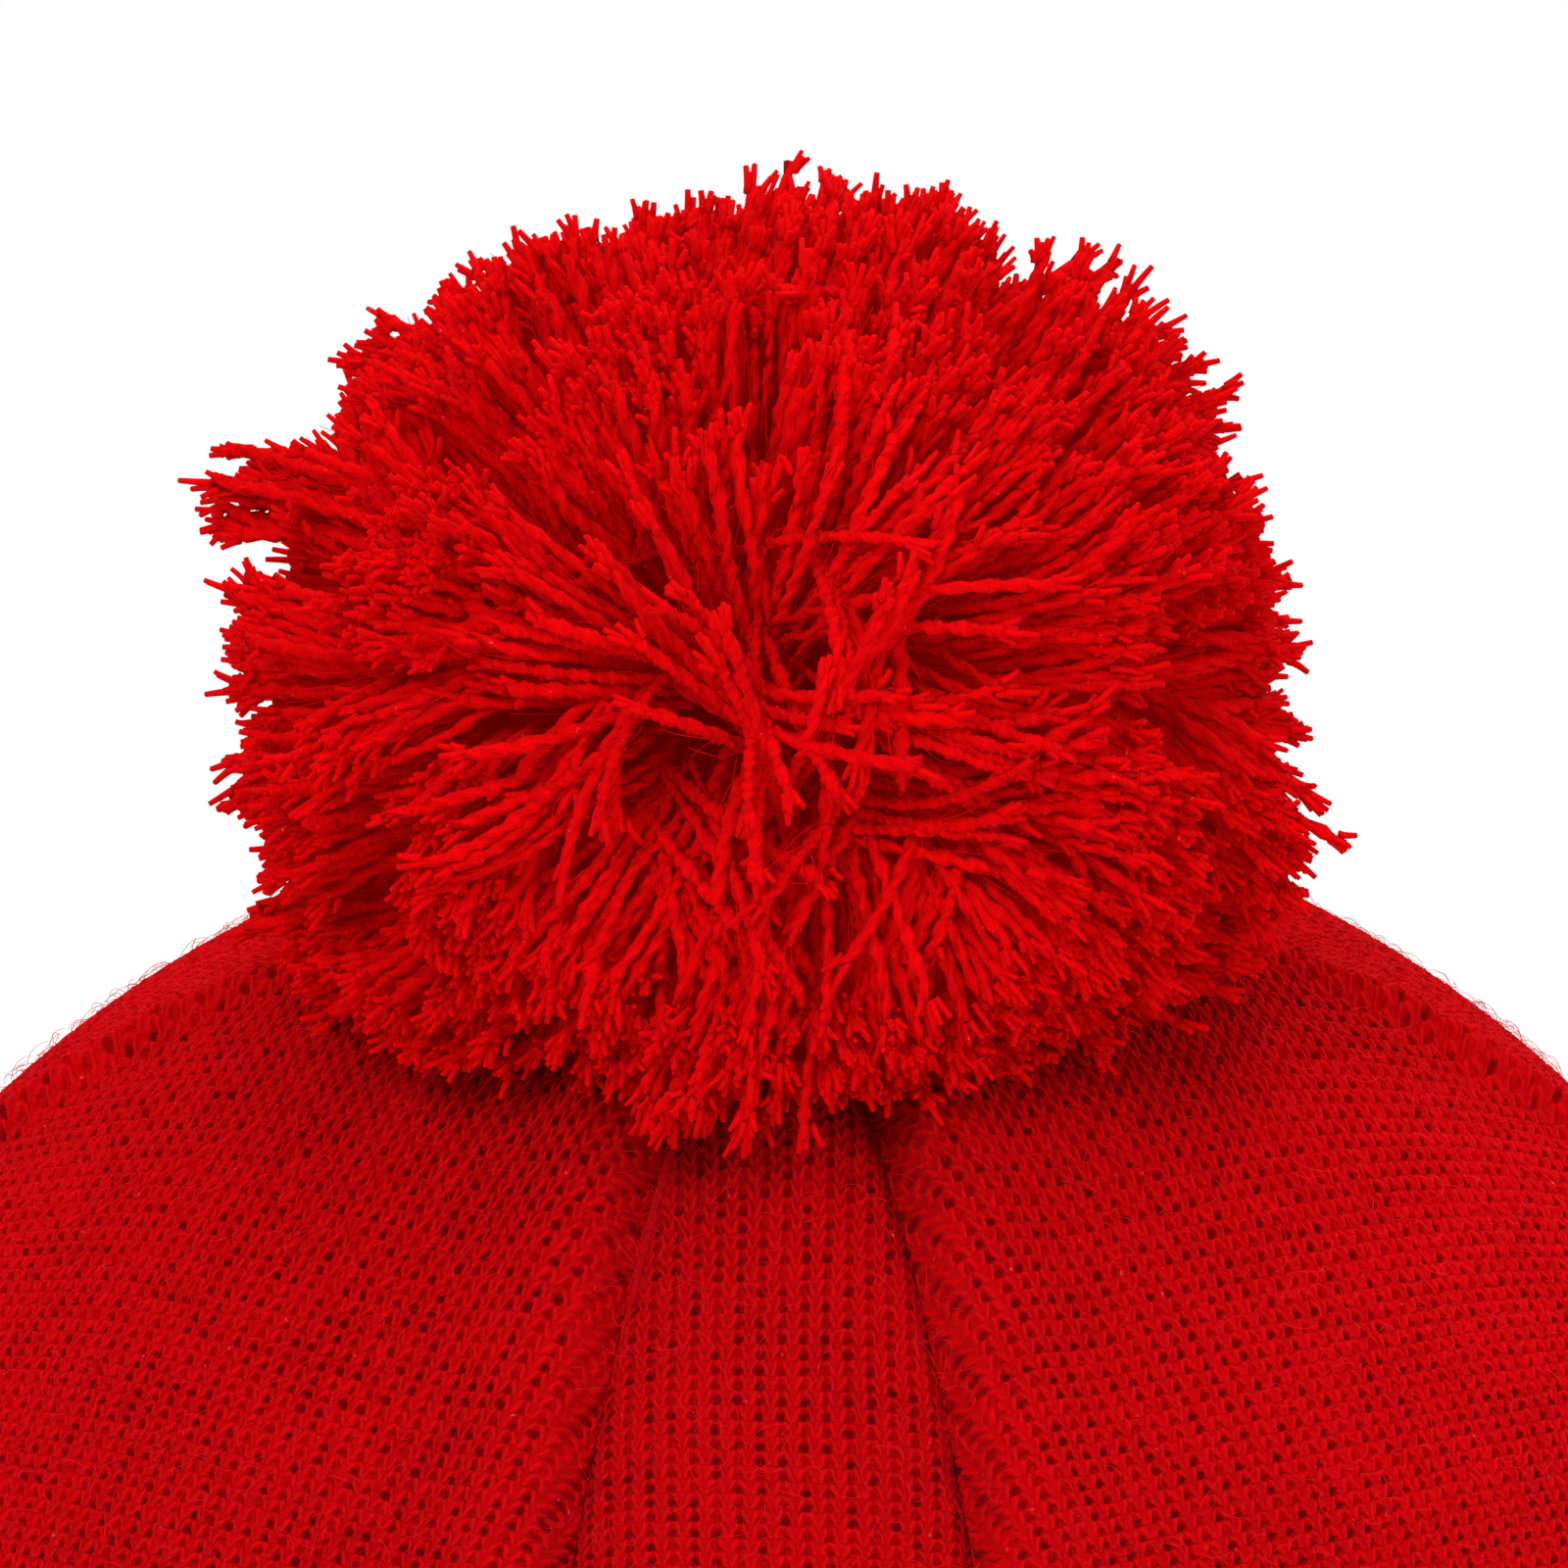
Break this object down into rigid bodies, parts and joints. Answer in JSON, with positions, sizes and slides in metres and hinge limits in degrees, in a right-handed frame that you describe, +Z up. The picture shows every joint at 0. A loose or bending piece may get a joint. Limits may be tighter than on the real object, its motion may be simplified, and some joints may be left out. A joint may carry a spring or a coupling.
{
  "type": "pom pom beanie",
  "caption": "Two-layer fine-knit beanie with a darted dome crown, a deep turned-up cuff and a full yarn pom pom tied on top so that it can tilt and twist.",
  "frame": {"origin": "centre of the cuff's bottom edge, on the surface that the hat stands on", "axes": "+Z up through the crown; -Y is the front of the hat and +X the wearer's left"},
  "size_m": [0.1932, 0.1932, 0.2469],
  "materials": {
    "shell_knit": "matte",
    "cuff_knit": "matte",
    "lining_knit": "matte",
    "seam_thread": "matte",
    "pom_yarn": "matte",
    "tie_cord": "matte",
    "label_tape": "satin",
    "label_stitch": "matte"
  },
  "bodies": {
    "hat": {"crown_front": "shell_knit", "crown_front_left": "shell_knit", "crown_back_left": "shell_knit", "crown_back": "shell_knit", "crown_back_right": "shell_knit", "crown_front_right": "shell_knit", "dart_thread_front_left": "seam_thread", "dart_thread_back_left": "seam_thread", "dart_thread_back_right": "seam_thread", "dart_thread_front_right": "seam_thread", "side_seam_thread_left": "seam_thread", "side_seam_thread_right": "seam_thread", "lining_front": "lining_knit", "lining_left": "lining_knit", "lining_back": "lining_knit", "lining_right": "lining_knit", "lining_thread_front_left": "seam_thread", "lining_thread_back_left": "seam_thread", "lining_thread_back_right": "seam_thread", "lining_thread_front_right": "seam_thread", "crown_gather_thread": "seam_thread", "lining_gather_thread": "seam_thread", "cuff_face": "cuff_knit", "cuff_back": "cuff_knit", "care_label": "label_tape", "label_thread": "label_stitch"},
    "pom_anchor": {"anchor_knot": "tie_cord", "anchor_cord": "tie_cord", "tie_knot": "tie_cord", "pom_yarn_lower": "pom_yarn"},
    "pom_pom": {"tie_cord": "tie_cord", "tie_ring": "tie_cord", "pom_yarn_neck": "pom_yarn", "pom_yarn_upper": "pom_yarn"}
  },
  "joints": [
    {"name": "pom_twist", "type": "hinge", "parent": "hat", "child": "pom_anchor", "pos_m": [0, 0, 0.186], "axis": [0, 0, 1], "range_deg": [-90, 90], "stiffness_Nm_per_rad": 0.02},
    {"name": "pom_nod", "type": "hinge", "parent": "pom_anchor", "child": "pom_pom", "pos_m": [0, 0, 0.186], "axis": [1, 0, 0], "range_deg": [-20, 20], "stiffness_Nm_per_rad": 0.2}
  ]
}
